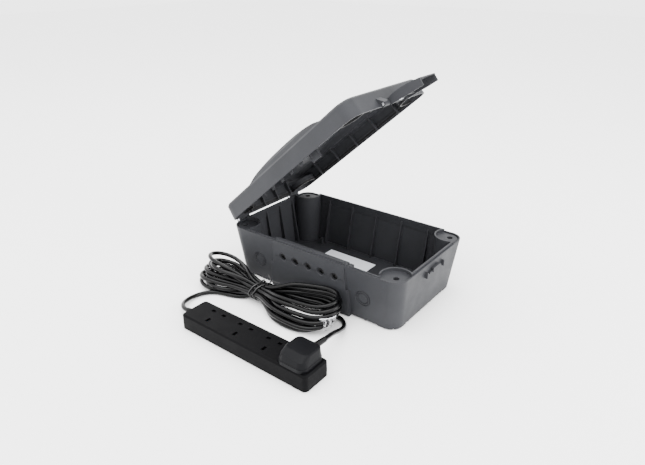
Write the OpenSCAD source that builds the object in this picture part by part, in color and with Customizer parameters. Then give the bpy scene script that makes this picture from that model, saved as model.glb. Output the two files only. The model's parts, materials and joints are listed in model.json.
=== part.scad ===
// Weatherproof outdoor connection box with a hinged lid, and the four-way extension lead that it houses.
// Origin: centre of the box's underside. +Z up, +X towards the latch end, -Y the cable-entry side.

/* [Box] */
// Outside length of the box at its rim
box_l = 350; // [340:1:360]
// Outside width of the box at its rim
box_w = 213; // [208:1:220]
// Height of the base, underside to rim
base_h = 93; // [90:1:100]
// Height of the lid's side walls
lid_h = 29; // [27:1:32]
// Height of the raised crown above the lid's roof
crown_h = 11; // [8:0.5:13]
// Wall thickness of the base and the lid
wall = 2.6; // [2.2:0.1:2.6]
// How far each end wall leans in from rim to floor
lean_x = 10; // [8:0.5:12]
// How far each long wall leans in from rim to floor
lean_y = 11; // [9:0.5:12]
// Radius of the box's upright corners at the rim
corner_r = 22; // [18:1:26]
// Angle between lid and base at rest, in degrees
lid_open = 41.6; // [0:0.1:90]

/* [Wall mounting] */
// Distance of each mounting hole from the two nearest rim edges
hole_inset = 18.5; // [18:0.5:20]
// Diameter of the screw hole through the floor
screw_d = 5.5; // [4:0.5:6]
// Diameter of the screw's access well
well_d = 10; // [9:0.5:11]

/* [Cable entry] */
// Number of cable entries in the front wall
entry_n = 5; // [3:1:5]
// Distance between neighbouring entries
entry_pitch = 27; // [26:0.5:28]
// Diameter of each entry in the plastic
entry_d = 12; // [9:0.5:12]
// Diameter of each entry in the rubber seals
seal_d = 7; // [6:0.5:8]
// Height of the entries' centres above the underside
entry_z = 66; // [62:1:68]
// Outer diameter of the conduit knock-outs
knock_d = 27.6; // [24:0.2:29]

/* [Latch] */
// Width of the latch lever
lever_w = 45; // [40:1:46]
// Angle between the lever and its closed position at rest, in degrees
lever_open = 88; // [0:1:110]
// Diameter of the lever's axle
axle_d = 4; // [3.5:0.1:4.2]

/* [Extension lead] */
// Length of the socket strip
strip_l = 250; // [248:1:256]
// Width of the socket strip
strip_w = 52; // [51:0.5:54]
// Height of the socket strip with its feet
strip_h = 26; // [26:0.5:28]
// Number of sockets
socket_n = 4; // [4:1:4]
// Distance between neighbouring sockets
socket_pitch = 57.7; // [57:0.1:58]
// Diameter of the mains lead
cord_d = 7.2; // [6.5:0.1:7.4]
// Length of the tied hank
hank_l = 286; // [278:1:286]
// Width of the hank across a lobe
hank_w = 81; // [76:1:82]
// Height of the hank
hank_h = 51; // [46:1:54]

/* [Hidden] */
$fn = 64;
eps = 0.01;

grey = [0.33, 0.345, 0.37];
black = [0.055, 0.055, 0.06];
brass = [0.80, 0.62, 0.30];
steel = [0.72, 0.73, 0.75];

// Rim, tongue and corner bosses
tongue_in = 2.8;                 // inset of the sealing tongue's outer face
tongue_t = 2.4;
tongue_h = 3.5;
front_tongue_h = 1.2;            // the tongue is lower beside the entry bar
boss_r = 24;                     // radius of the plate round each mounting hole
boss_drop = 1.8;                 // the plate lies this far below the rim
boss_x = box_l / 2 - hole_inset;
boss_y = box_w / 2 - hole_inset;
boss_tube_d = 18;
screw_floor = 26;                // thickness under the screw's head

// Ribs inside the walls
rib_t = 2.4;
rib_pitch_x = 54.5;
rib_pitch_y = 36.5;
rib_top = base_h - 4;

// Hinge, outside the end wall at rim height
hinge_x = -box_l / 2 - 4.8;
hinge_z = base_h;
knuckle_r = 4.4;
hinge_pin_d = 4;
hinge_at = 70;                   // each hinge's distance from the middle of the end wall
hinge_half = 12.5;               // half the length of a hinge
barrel_half = 5.7;               // half the length of the lid's barrel

// Latch
pivot_out = 5.5;                 // the lever's axle, out from the rim
pivot_up = 1.5;                  // and up from the rim
pivot_x = box_l / 2 + pivot_out;
pivot_z = base_h + pivot_up;
lug_at = 30.7;                   // middle of each lug that carries the axle
lug_t = 14;
cheek_t = 2.6;
running = 0.05;                  // radial clearance of a turning fit
keeper_z = 76;
keeper_out = 4;                  // the keeper's bar, out from the rim

// Entry bar
bar_half = 74;
bar_rail = 3;                    // the bar's side tongue, beyond its end
bar_back = box_w / 2 - 15.5;     // inner face of the bar and of the trough
gap = 0.2;
bar_top = 6;                     // thickness of the bar's top
comb_in = 6.4;                   // the lid's comb, in from the rim
comb_t = 2.2;
comb_drop = 4;                   // how far the comb reaches below the rim
trough_floor = 49;

// Lid above the rim: roof edge, then crown
lid_gap = 0.3;
roof_rise = 4.5;
roof_inset = 26;
crown_half = 101;
crown_x = 6;
crown_inset = 19;
crown_steps = 14;

// Socket strip
strip_x0 = -107.5;
strip_y = -260;
foot_h = 1;
shell_split = 9;
shell_t = 2.2;
first_socket = 46.8;
function socket_x(i) = strip_x0 + first_socket + i * socket_pitch;
contact_dy = 11.1;               // the pins' rows, either side of the socket's centre
contact_dx = 11.1;               // live and neutral, either side of the socket's centre
screw_at = [[strip_x0 + 8.5, strip_y + 16], for (i = [0:2]) [socket_x(i) + socket_pitch / 2, strip_y],
    [strip_x0 + strip_l - 8.5, strip_y]];
plug_at = 3;                     // the plug sits in the last socket
plug_x = socket_x(plug_at);
shutter_z = 20.2;
shutter_t = 2;
shutter_travel = 6.6;
spring_x = 5.9;                  // each spring's axis, beside the shutter's stem
spring_steps = 54;
leaf_t = 0.8;
leaf_gap = 4.04;
leaf_top = 15;
rail_z = 2.7;
rail_x0 = strip_x0 + 24;
rail_x1 = strip_x0 + strip_l - 16;
clamp_x = strip_x0 + 15;
core_x = clamp_x + 5;

// Plug
plug_l = 49;
plug_split = strip_h + 6;
plug_h = 21;
plug_shell = 2;

// Cord route from the strip's gland, round the strip's end, to the hank
gland_z = 13;
gland_l = 15;
from_strip = [[-122.5, -260, 13], [-132, -259, 12], [-141, -254.5, 11], [-149, -247, 9], [-154.5, -237.5, 7],
    [-157.5, -226.5, 5.5], [-158.5, -215, 4.2], [-157.5, -204, 3.8], [-154, -194, 3.8], [-148.5, -185.5, 3.8]];
// Cord route from the hank, up to the plug's gland
to_plug = [[58, -118, 5.2], [67, -117, 4.2], [76, -118, 3.8], [85, -122, 3.8], [92, -128.5, 4.2],
    [97, -137, 6], [100.5, -146.5, 9.5], [103.5, -157, 13.8], [106, -167.5, 18.4], [108.3, -178, 23],
    [110.6, -188, 26.8], [112.7, -198, 29.7], [114.5, -208, 31.8]];
plug_exit = to_plug[len(to_plug) - 1];
hank_x = -53;
hank_y = -149.8;
hank_waist = 24;

// ---------------------------------------------------------------- shared shapes

// A rounded rectangle centred on the origin, with true arcs.
module rrect(l, w, r) {
    square([l - 2 * r, w], center = true);
    square([l, w - 2 * r], center = true);
    for (x = [-1, 1], y = [-1, 1])
        translate([x * (l / 2 - r), y * (w / 2 - r)]) circle(r);
}

module slab(l, w, r, z, t = eps) {
    translate([0, 0, z]) linear_extrude(t) rrect(l, w, r, $fn = 48);
}

// A cylinder along Y, from y0 to y1.
module rod_y(d, x, y0, y1, z) {
    translate([x, y0, z]) rotate([-90, 0, 0]) cylinder(d = d, h = y1 - y0);
}

// A cylinder along X, from x0 to x1.
module rod_x(d, x0, x1, y, z) {
    translate([x0, y, z]) rotate([0, 90, 0]) cylinder(d = d, h = x1 - x0);
}

module block(x0, x1, y0, y1, z0, z1) {
    translate([x0, y0, z0]) cube([x1 - x0, y1 - y0, z1 - z0]);
}

// A tube of n sides swept along points, square to the path at each one. The path never runs along ref.
function unit(v) = v / norm(v);
function heading(p, i) = unit(p[min(i + 1, len(p) - 1)] - p[max(i - 1, 0)]);
function ring(p, i, d, n, ref) =
    let (h = heading(p, i), s = unit(cross(h, ref)), u = cross(s, h))
    [for (k = [0:n - 1]) p[i] + d / 2 * (cos(360 * k / n) * s + sin(360 * k / n) * u)];
module tube(p, d, n = 10, ref = [0, 0, 1]) {
    points = [for (i = [0:len(p) - 1]) each ring(p, i, d, n, ref)];
    sides = [for (i = [0:len(p) - 2], k = [0:n - 1])
        let (a = i * n + k, b = i * n + (k + 1) % n)
        each [[a, b, b + n], [a, b + n, a + n]]];
    first = [for (k = [n - 1:-1:0]) k];
    last = [for (k = [0:n - 1]) (len(p) - 1) * n + k];
    polyhedron(points, concat([first], sides, [last]), convexity = 6);
}

// How far the walls have leant in at height z.
function in_x(z) = lean_x * (1 - z / base_h);
function in_y(z) = lean_y * (1 - z / base_h);

// The base's tapered outline, inset by t, from floor_z up to top_z.
module tub(t, floor_z, top_z, foot = 0) {
    hull() {
        slab(box_l - 2 * (in_x(floor_z) + t + foot), box_w - 2 * (in_y(floor_z) + t + foot),
            corner_r - t - foot, floor_z);
        slab(box_l - 2 * (in_x(floor_z + foot) + t), box_w - 2 * (in_y(floor_z + foot) + t),
            corner_r - t, floor_z + foot);
        slab(box_l - 2 * (in_x(top_z) + t), box_w - 2 * (in_y(top_z) + t), corner_r - t, top_z - eps);
    }
}

module at_bosses() {
    for (x = [-1, 1], y = [-1, 1]) translate([x * boss_x, y * boss_y]) children();
}

// The area inside the bosses, inset by t from the rim.
module seal_area(t) {
    difference() {
        square([box_l - 2 * t, box_w - 2 * t], center = true);
        at_bosses() circle(boss_r - tongue_in + t);
    }
}

// A ring that follows the walls and passes inside each mounting hole.
module seal_ring(t, width) {
    difference() {
        seal_area(t);
        seal_area(t + width);
    }
}

// ---------------------------------------------------------------- base

// An upright rib on a long wall, deeper at the floor, at x.
module long_rib(x, side) {
    y0 = box_w / 2 - in_y(wall);
    y1 = box_w / 2 - in_y(rib_top);
    translate([x - rib_t / 2, 0, 0]) rotate([90, 0, 90]) linear_extrude(rib_t)
        polygon([[side * y0, wall / 2], [side * (y0 - 13), wall / 2], [side * (y0 - 12), 3 * wall],
            [side * (y1 - 6.4), rib_top], [side * y1, rib_top]]);
}

// An upright rib on an end wall, deeper at the floor, at y.
module end_rib(y, side) {
    x0 = box_l / 2 - in_x(wall);
    x1 = box_l / 2 - in_x(rib_top);
    translate([0, y + rib_t / 2, 0]) rotate([90, 0, 0]) linear_extrude(rib_t)
        polygon([[side * x0, wall / 2], [side * (x0 - 13), wall / 2], [side * (x0 - 12), 3 * wall],
            [side * (x1 - 6.4), rib_top], [side * x1, rib_top]]);
}

module base_ribs() {
    for (i = [-2:2]) long_rib(i * rib_pitch_x, 1);
    for (i = [-2, 2]) long_rib(i * rib_pitch_x, -1);
    for (i = [-1.5:1.5], side = [-1, 1]) end_rib(i * rib_pitch_y, side);
}

// The front wall's middle stays upright, and is wider in its lower half.
module front_panel() {
    y_rim = -box_w / 2;
    shoulder = base_h / 2 + 3;
    translate([-bar_half - 2, 0, 0]) rotate([90, 0, 90]) linear_extrude(2 * bar_half + 4)
        polygon([[y_rim + 0.7, base_h - 10], [y_rim + 1.7, shoulder - 1], [y_rim + 16, shoulder - 1],
            [y_rim + 8, base_h - 10]]);
    translate([-bar_half - 8, 0, 0]) rotate([90, 0, 90]) linear_extrude(2 * bar_half + 16)
        polygon([[y_rim + 1.7, shoulder], [y_rim + 3, 3], [y_rim + 5.5, 0], [y_rim + 18, 0],
            [y_rim + 12, shoulder]]);
}

// Trough behind the front wall that holds the lower seal, and the bar's side posts.
module entry_trough() {
    y0 = -box_w / 2 + 1.2;
    for (s = [-1, 1])
        block(s > 0 ? bar_half + gap : -bar_half - 7, s > 0 ? bar_half + 7 : -bar_half - gap,
            y0, -bar_back + 2, trough_floor - 2, base_h - 2.5);
    block(-bar_half - 7, bar_half + 7, y0 + 2, -bar_back + 2, trough_floor - 2, trough_floor);
    block(-bar_half - 1, bar_half + 1, -bar_back, -bar_back + 2, trough_floor - 2, entry_z);
}

module entry_cuts() {
    block(-bar_half - gap, bar_half + gap, -box_w / 2 - 1, -box_w / 2 + 7, entry_z, base_h + 6);
    for (s = [-1, 1])
        block(s > 0 ? bar_half : -bar_half - bar_rail - gap, s > 0 ? bar_half + bar_rail + gap : -bar_half,
            -box_w / 2 + 5.4, -box_w / 2 + 8.8, entry_z - 4, base_h + 6);
    entry_notches(entry_d, -box_w / 2 - 1, -box_w / 2 + 8);
    entry_notches(entry_d + 1.6, -bar_back - 1, -bar_back + 3);
    entry_rims();
    block(-bar_half, bar_half, -box_w / 2 - 1, -box_w / 2 + 2, entry_z - 0.5, entry_z + 1);
}

// Countersink round each cable entry's outer face.
module entry_rims() {
    for (i = [0:entry_n - 1])
        translate([(i - (entry_n - 1) / 2) * entry_pitch, -box_w / 2 - eps, entry_z]) rotate([-90, 0, 0])
            cylinder(d1 = entry_d + 3.6, d2 = entry_d, h = 2.4);
}

// Two concentric score lines of a conduit knock-out in the front wall.
module knockout(x, z) {
    lean = atan(lean_y / base_h);
    translate([x, -box_w / 2 + in_y(z), z]) rotate([90 + lean, 0, 0])
        for (d = [knock_d, knock_d - 7]) difference() {
            translate([0, 0, -1.5]) cylinder(d = d, h = 4);
            translate([0, 0, -2.5]) cylinder(d = d - 3.6, h = 6);
        }
}

// Catch on the latch end that the lever hooks under, between two guide fins.
module keeper() {
    x0 = box_l / 2 - in_x(keeper_z) - 2;
    x1 = box_l / 2 + keeper_out;
    for (y = [-27, 27]) block(x0, x1 - 0.5, y - 1.2, y + 1.2, keeper_z - 5, keeper_z + 5);
    block(x0, x1, -10, 12, keeper_z - 1, keeper_z + 6.5);
    block(x0, x1 - 1.6, -19, 19, keeper_z - 1, keeper_z + 2);
}

// Knuckles at the hinge end, each side of the lid's barrels.
module base_knuckles() {
    inner = barrel_half + gap;
    for (s = [-1, 1], e = [-1, 1]) translate([0, s * hinge_at, 0]) {
        y0 = e > 0 ? inner : -hinge_half;
        y1 = e > 0 ? hinge_half : -inner;
        rod_y(2 * knuckle_r, hinge_x, y0, y1, hinge_z);
        translate([0, y1, 0]) rotate([90, 0, 0]) linear_extrude(y1 - y0)
            polygon([[hinge_x - 2.6, hinge_z - 3.5], [hinge_x, hinge_z - knuckle_r - 4],
                [-box_l / 2 + 3, hinge_z - 19], [-box_l / 2 + 1.5, hinge_z - 0.5], [hinge_x, hinge_z]]);
    }
}

module boss_solids() {
    translate([0, 0, wall / 2]) linear_extrude(base_h - boss_drop - wall / 2)
        at_bosses() circle(boss_r + tongue_t);
}

// Hollows under the corner plates, open at the underside, round each screw tube.
module boss_hollows() {
    difference() {
        intersection() {
            tub(wall, -eps, base_h, 3);
            translate([0, 0, -1]) linear_extrude(base_h - boss_drop - wall + 1) at_bosses() circle(boss_r);
        }
        translate([0, 0, -2]) linear_extrude(base_h) at_bosses() circle(d = boss_tube_d);
    }
}

module screw_wells() {
    at_bosses() {
        translate([0, 0, -1]) cylinder(d = screw_d, h = base_h);
        translate([0, 0, screw_floor]) cylinder(d = well_d, h = base_h);
    }
}

// Shallow channel between each corner plate and the outer wall.
module corner_channels() {
    translate([0, 0, base_h - 3.4]) linear_extrude(5) intersection() {
        difference() {
            rrect(box_l - 2 * wall, box_w - 2 * wall, corner_r - wall);
            rrect(box_l - 2 * wall - 4, box_w - 2 * wall - 4, corner_r - wall - 2);
        }
        at_bosses() circle(boss_r);
    }
}

module floor_posts() {
    for (x = [-110, 110], y = [-1, 1]) translate([x, y * 76, wall / 2]) difference() {
        cylinder(d = 7, h = 14);
        translate([0, 0, 4]) cylinder(d = 3, h = 12);
    }
}

module tongue() {
    translate([0, 0, base_h - 12]) linear_extrude(12 + tongue_h) seal_ring(tongue_in, tongue_t);
}

module front_tongue_cut() {
    for (s = [-1, 1]) translate([s * 106, 0, 0])
        block(-33, 33, -box_w / 2 + 1, -box_w / 2 + 8, base_h + front_tongue_h, base_h + 6);
}

module base() {
    color(grey) difference() {
        union() {
            difference() {
                union() {
                    tub(0, 0, base_h, 3);
                    front_panel();
                }
                tub(wall, wall, base_h + 1);
            }
            intersection() {
                tub(0.2, 0, base_h + 10);
                union() {
                    boss_solids();
                    base_ribs();
                    entry_trough();
                    tongue();
                }
            }
            floor_posts();
            keeper();
            base_knuckles();
        }
        boss_hollows();
        screw_wells();
        corner_channels();
        entry_cuts();
        front_tongue_cut();
        knockout(-112, 42);
        knockout(107, 44);
        for (s = [-1, 1])
            rod_y(hinge_pin_d, hinge_x, s * hinge_at - hinge_half - 1, s * hinge_at + hinge_half + 1, hinge_z);
    }
}

// ---------------------------------------------------------------- lid

// Carries its children from the closed position to the open one.
module opened() {
    translate([hinge_x, 0, hinge_z]) rotate([0, -lid_open, 0]) translate([-hinge_x, 0, -hinge_z]) children();
}

// The lid's walls and roof, inset by t and lowered by t.
module lid_shell(t, z0) {
    hull() {
        slab(box_l - 2 * t, box_w - 2 * t, corner_r - t, base_h + z0);
        slab(box_l - 2 * t - 3, box_w - 2 * t - 3, corner_r - t, base_h + lid_h - 3 - t);
        slab(box_l - 2 * t - 8, box_w - 2 * t - 8, corner_r - t - 1, base_h + lid_h - t);
        slab(box_l - 2 * roof_inset, box_w - 2 * roof_inset, 6, base_h + lid_h + roof_rise - t);
    }
}

// Height of the crown's arch at s, from -1 to 1 along it.
function arch(s) = crown_h * (1 - pow(abs(s), 2.6));

// The raised crown along the middle of the roof, inset by t.
module crown(t) {
    half = crown_half - t;
    foot = base_h + lid_h - 6;
    roof = base_h + lid_h + roof_rise - t;
    edge = box_w / 2 - crown_inset - t;
    intersection() {
        translate([crown_x, box_w / 2, 0]) rotate([90, 0, 0]) linear_extrude(box_w)
            polygon(concat([[half, foot], [-half, foot]],
                [for (i = [0:crown_steps]) let (s = 2 * i / crown_steps - 1)
                    [half * s, roof + arch(s) - (abs(s) == 1 ? 1 : 0)]]));
        translate([-box_l / 2, 0, 0]) rotate([90, 0, 90]) linear_extrude(box_l)
            polygon([[-edge - 8, foot], [edge + 8, foot], [edge, roof + crown_h - 5],
                [edge - 6, roof + crown_h + 1], [6 - edge, roof + crown_h + 1], [-edge, roof + crown_h - 5]]);
    }
}

module lid_long_rib(x, side) {
    translate([x - rib_t / 2, 0, 0]) rotate([90, 0, 90]) linear_extrude(rib_t)
        polygon([[side * (box_w / 2 - 1), base_h + 10], [side * (box_w / 2 - 6), base_h + 0.8],
            [side * (box_w / 2 - 9), base_h + 0.8], [side * (box_w / 2 - 15), base_h + lid_h],
            [side * (box_w / 2 - 3), base_h + lid_h]]);
}

module lid_end_rib(y, side) {
    translate([0, y + rib_t / 2, 0]) rotate([90, 0, 0]) linear_extrude(rib_t)
        polygon([[side * (box_l / 2 - 1), base_h + 10], [side * (box_l / 2 - 6), base_h + 0.8],
            [side * (box_l / 2 - 9), base_h + 0.8], [side * (box_l / 2 - 15), base_h + lid_h],
            [side * (box_l / 2 - 3), base_h + lid_h]]);
}

// Ledge that the seal hangs from, and the ring round each corner pocket.
module seal_ledge() {
    translate([0, 0, base_h + 7.2]) linear_extrude(2.4) seal_ring(1.5, 4.5);
    translate([0, 0, base_h + 7.2]) linear_extrude(8) difference() {
        at_bosses() circle(boss_r + tongue_t);
        at_bosses() circle(boss_r);
    }
}

// Comb that drops into the entry bar's channel, one scallop over each cable, and a tab behind the bar.
module entry_comb() {
    half = entry_n * entry_pitch / 2 - 2;
    y0 = -box_w / 2 + comb_in;
    difference() {
        block(-half, half, y0, y0 + comb_t, base_h - comb_drop, base_h + lid_h - 1);
        for (i = [0:entry_n - 1])
            rod_y(21, (i - (entry_n - 1) / 2) * entry_pitch, y0 - 1, y0 + 4, base_h - 2);
    }
    difference() {
        block(52, 71, 2.6 - bar_back, 7.4 - bar_back, base_h - 9.2, base_h + lid_h + 2);
        block(54.2, 68.8, 4.8 - bar_back, 8 - bar_back, base_h - 10, base_h + lid_h - 4);
    }
}

module lid_knuckles() {
    for (s = [-1, 1]) translate([0, s * hinge_at, 0]) {
        rod_y(2 * knuckle_r, hinge_x, -barrel_half, barrel_half, hinge_z);
        translate([0, barrel_half, 0]) rotate([90, 0, 0]) linear_extrude(2 * barrel_half)
            polygon([[hinge_x - 3.7, hinge_z + 2.4], [hinge_x, hinge_z], [hinge_x + 4.6, hinge_z + 1],
                [-box_l / 2 + 1.2, hinge_z + 1], [-box_l / 2 + 2, hinge_z + 17]]);
    }
}

// Lugs on the latch end that carry the lever's axle.
module lever_lugs() {
    for (s = [-1, 1]) translate([0, s * lug_at + lug_t / 2, 0]) rotate([90, 0, 0]) linear_extrude(lug_t) {
        translate([pivot_x, pivot_z]) circle(4);
        polygon([[box_l / 2 - 1.5, pivot_z - 0.7], [pivot_x, pivot_z - 4], [pivot_x + 3.6, pivot_z + 1.8],
            [box_l / 2 - 1.5, pivot_z + 14]]);
    }
}

module lid() {
    color(grey) opened() difference() {
        union() {
            difference() {
                union() {
                    lid_shell(0, lid_gap);
                    crown(0);
                }
                lid_shell(wall, lid_gap - 1);
                crown(wall);
            }
            intersection() {
                lid_shell(0.4, lid_gap);
                union() {
                    for (i = [-2:2]) lid_long_rib(i * rib_pitch_x, 1);
                    for (i = [-2, 2]) lid_long_rib(i * rib_pitch_x, -1);
                    for (i = [-1.5:1.5], side = [-1, 1]) lid_end_rib(i * rib_pitch_y, side);
                    seal_ledge();
                }
            }
            entry_comb();
            lid_knuckles();
            lever_lugs();
        }
        for (s = [-1, 1])
            rod_y(hinge_pin_d + 2 * running, hinge_x, s * hinge_at - 7, s * hinge_at + 7, hinge_z);
        rod_y(axle_d, pivot_x, -lug_at - lug_t, lug_at + lug_t, pivot_z);
        translate([0, 0, base_h - 1]) linear_extrude(8.2) seal_ring(tongue_in - 0.2, 3);
    }
}

module lid_seal() {
    color([0.09, 0.09, 0.1]) opened() translate([0, 0, base_h + tongue_h + 0.1]) linear_extrude(3.6)
        seal_ring(tongue_in - 0.1, 2.8);
}

module hinge_pins() {
    color(steel) for (s = [-1, 1])
        rod_y(hinge_pin_d, hinge_x, s * hinge_at - hinge_half, s * hinge_at + hinge_half, hinge_z);
}

// ---------------------------------------------------------------- latch

// Carries its children from the lever's closed position to its open one, on the closed lid.
module swung() {
    translate([pivot_x, 0, pivot_z]) rotate([0, -lever_open, 0]) translate([-pivot_x, 0, -pivot_z]) children();
}

// Outer profile of the hanging lever: [out, down] from the axle's centre, top to tip.
lever_back = [[0, 5.1], [3.6, 3.6], [5.2, 0], [6.6, -9], [7.2, -17], [7, -28], [5.6, -40], [3.9, -51],
    [1.6, -61.8]];
lever_t = 2.2;

module latch_lever() {
    half = lever_w / 2;
    color(grey) opened() swung() translate([pivot_x, 0, pivot_z]) difference() {
        union() {
            // two cheeks, then the curved back between them
            for (s = [-1, 1]) translate([0, s > 0 ? half : cheek_t - half, 0]) rotate([90, 0, 0])
                linear_extrude(cheek_t) polygon(concat(lever_back, [[-10.4, -61.5], [-9.6, -50], [-8.6, -38],
                    [-7.2, -26], [-6.2, -15], [-5.1, -3], [-3.6, 3.6]]));
            translate([0, half, 0]) rotate([90, 0, 0]) linear_extrude(lever_w)
                polygon(concat(lever_back, [for (i = [len(lever_back) - 1:-1:0])
                    lever_back[i] - lever_t * unit([1, i < 2 ? 1 : 0.1 * (i - 5)])]));
            // hook under the catch, and two stiffening ribs
            block(-4.6, 6, -18, 18, -22.8, -20.4);
            for (y = [-9, 9]) block(0.5, 4, y - 1, y + 1, -42, -22);
        }
        rod_y(axle_d + 2 * running, 0, -half - 1, half + 1, 0);
    }
}

module latch_axle() {
    color(steel) opened() rod_y(axle_d, pivot_x, -lug_at - lug_t / 2, lug_at + lug_t / 2, pivot_z);
}

// ---------------------------------------------------------------- cable entry

// Half-round notches along a seal or a wall, one for each cable.
module entry_notches(d, y0, y1) {
    for (i = [0:entry_n - 1]) rod_y(d, (i - (entry_n - 1) / 2) * entry_pitch, y0, y1, entry_z);
}

module entry_bar() {
    y0 = -box_w / 2;
    color(grey) difference() {
        union() {
            block(-bar_half, bar_half, y0, y0 + 2.6, entry_z + 0.1, base_h);
            block(-bar_half, bar_half, -bar_back - 1.8, -bar_back, entry_z + 0.1, base_h);
            block(-bar_half, bar_half, y0, -bar_back, base_h - bar_top, base_h);
            for (s = [-1, 1]) {
                block(s > 0 ? bar_half - 2.2 : -bar_half, s > 0 ? bar_half : 2.2 - bar_half,
                    y0, -bar_back, entry_z + 0.1, base_h);
                block(s > 0 ? bar_half - 1 : -bar_half - bar_rail, s > 0 ? bar_half + bar_rail : 1 - bar_half,
                    y0 + 5.6, y0 + 8.6, entry_z + 0.1, base_h - 0.5);
            }
            block(-69, 69, y0 + tongue_in, y0 + tongue_in + tongue_t, base_h - 1, base_h + tongue_h);
            block(67.5, 72, y0 + tongue_in, y0 + tongue_in + tongue_t, base_h - 1, base_h + 2);
        }
        block(3 - bar_half, bar_half - 3, y0 + comb_in - 0.6, y0 + comb_in + comb_t + 0.6,
            base_h - comb_drop - 0.6, base_h + 1);
        entry_notches(entry_d, y0 - 1, y0 + 4);
        entry_notches(entry_d + 1.6, -bar_back - 3, -bar_back + 1);
        entry_rims();
        block(-bar_half - 1, bar_half + 1, y0 - 1, y0 + 0.8, entry_z, entry_z + 0.6);
    }
}

module entry_seal(z0, z1) {
    y0 = -box_w / 2 + 2.8;
    half = bar_half - 2.4;
    color(black) difference() {
        block(-half, half, y0, -bar_back - 2, z0, z1);
        entry_notches(seal_d, y0 - 1, -bar_back);
    }
}

module entry_seal_upper() {
    entry_seal(entry_z + 0.1, base_h - bar_top - 0.2);
}

module entry_seal_lower() {
    y0 = -box_w / 2 + 8;
    color(black) difference() {
        block(-bar_half + 1, bar_half - 1, y0, -bar_back - 0.2, trough_floor, entry_z);
        entry_notches(seal_d, y0 - 8, -bar_back + 8);
    }
}

module floor_label() {
    color([0.9, 0.9, 0.91]) block(-80, 24, 18, 67, wall, wall + 0.2);
}

// ---------------------------------------------------------------- socket strip

module strip_outline(t, r) {
    translate([strip_x0 + strip_l / 2, strip_y]) rrect(strip_l - 2 * t, strip_w - 2 * t, r);
}

module at_sockets() {
    for (i = [0:socket_n - 1]) translate([socket_x(i), strip_y, 0]) children();
}

// The three pin apertures of one socket.
module apertures(z0, z1) {
    for (x = [-contact_dx, contact_dx]) block(x - 3.6, x + 3.6, contact_dy - 2.5, contact_dy + 2.5, z0, z1);
    block(-2.5, 2.5, -contact_dy - 4.5, -contact_dy + 4.5, z0, z1);
}

module strip_cover() {
    edge = 2.4;
    color(black) difference() {
        union() {
            difference() {
                hull() {
                    translate([0, 0, shell_split]) linear_extrude(eps) strip_outline(0, 7, $fn = 48);
                    translate([0, 0, strip_h - edge]) linear_extrude(eps) strip_outline(0.5, 6.5, $fn = 48);
                    translate([0, 0, strip_h - eps]) linear_extrude(eps) strip_outline(edge + 0.3, 5, $fn = 48);
                }
                translate([0, 0, shell_split - 1]) linear_extrude(strip_h - shell_split - shell_t + 1)
                    strip_outline(shell_t + 0.4, 5);
            }
            for (p = screw_at)
                translate([p[0], p[1], shell_split]) cylinder(d = 6, h = strip_h - shell_split - 1);
            at_sockets() {
                for (x = [-16.7, 16.7]) block(x - 0.5, x + 0.5, 5, 17, shutter_z - 1, strip_h - 1);
                translate([spring_x, -6.8, shutter_z - 1]) cylinder(d = 3, h = strip_h - shutter_z);
            }
        }
        at_sockets() apertures(strip_h - 4, strip_h + 1);
        for (p = screw_at) translate([p[0], p[1], shell_split - 1]) cylinder(d = 2.6, h = 12);
        rod_x(9, strip_x0 - 1, strip_x0 + 6, strip_y, gland_z);
    }
}

module strip_base() {
    color(black) difference() {
        union() {
            difference() {
                translate([0, 0, foot_h]) linear_extrude(shell_split - foot_h) strip_outline(0.2, 6.8);
                translate([0, 0, foot_h + 1.6]) linear_extrude(shell_split) strip_outline(shell_t, 5);
            }
            for (p = screw_at) translate([p[0], p[1], foot_h]) cylinder(d = 7, h = shell_split - foot_h);
        }
        for (p = screw_at) translate([p[0], p[1], 0]) {
            cylinder(d = 3.2, h = shell_split + 1);
            cylinder(d = 6, h = foot_h + 2);
        }
        rod_x(9, strip_x0 - 1, strip_x0 + 6, strip_y, gland_z);
        feet();
    }
}

module feet() {
    for (x = [-1, 1], y = [-1, 1])
        translate([strip_x0 + strip_l / 2 + x * 102, strip_y + y * 18, 0]) cylinder(d = 8, h = foot_h + 0.6);
}

module strip_feet() {
    color([0.12, 0.12, 0.12]) feet();
}

module strip_screws() {
    color(steel) for (p = screw_at) translate([p[0], p[1], 0]) {
        translate([0, 0, foot_h + 0.2]) cylinder(d = 5.4, h = 1.8);
        translate([0, 0, foot_h + 1]) cylinder(d = 2.6, h = 15);
    }
}

// Two spring leaves that grip a pin, with their floor. The pin is w wide and leaf_gap thick.
module clip(w) {
    for (s = [-1, 1]) block(-w / 2, w / 2, s > 0 ? leaf_gap / 2 : -leaf_gap / 2 - leaf_t,
        s > 0 ? leaf_gap / 2 + leaf_t : -leaf_gap / 2, rail_z, leaf_top);
    block(-w / 2, w / 2, -leaf_gap / 2, leaf_gap / 2, rail_z, rail_z + 0.5);
}

// A rail along the strip with a clip at dx, dy in each socket, joined to it by a tab.
module contact_rail(dx, dy, rail_y, x0, x1, turned) {
    block(x0, x1, strip_y + rail_y - leaf_t / 2, strip_y + rail_y + leaf_t / 2, rail_z, rail_z + 5);
    at_sockets() translate([dx, dy, 0]) {
        rotate([0, 0, turned ? 90 : 0]) clip(turned ? 7.6 : 6);
        reach = rail_y - dy;
        start = sign(reach) * (turned ? 3.6 : leaf_gap / 2 + leaf_t / 2);
        block(-1.4, 1.4, min(start, reach), max(start, reach), rail_z, rail_z + leaf_t);
    }
}

module live_rail() {
    color(brass) contact_rail(contact_dx, contact_dy, 18.5, rail_x0, rail_x1, false);
}

module neutral_rail() {
    color(brass) contact_rail(-contact_dx, contact_dy, 5.6, rail_x0 + 4, rail_x1, false);
}

module earth_rail() {
    color(brass) contact_rail(0, -contact_dy, -19.5, rail_x0, rail_x1, true);
}

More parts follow.
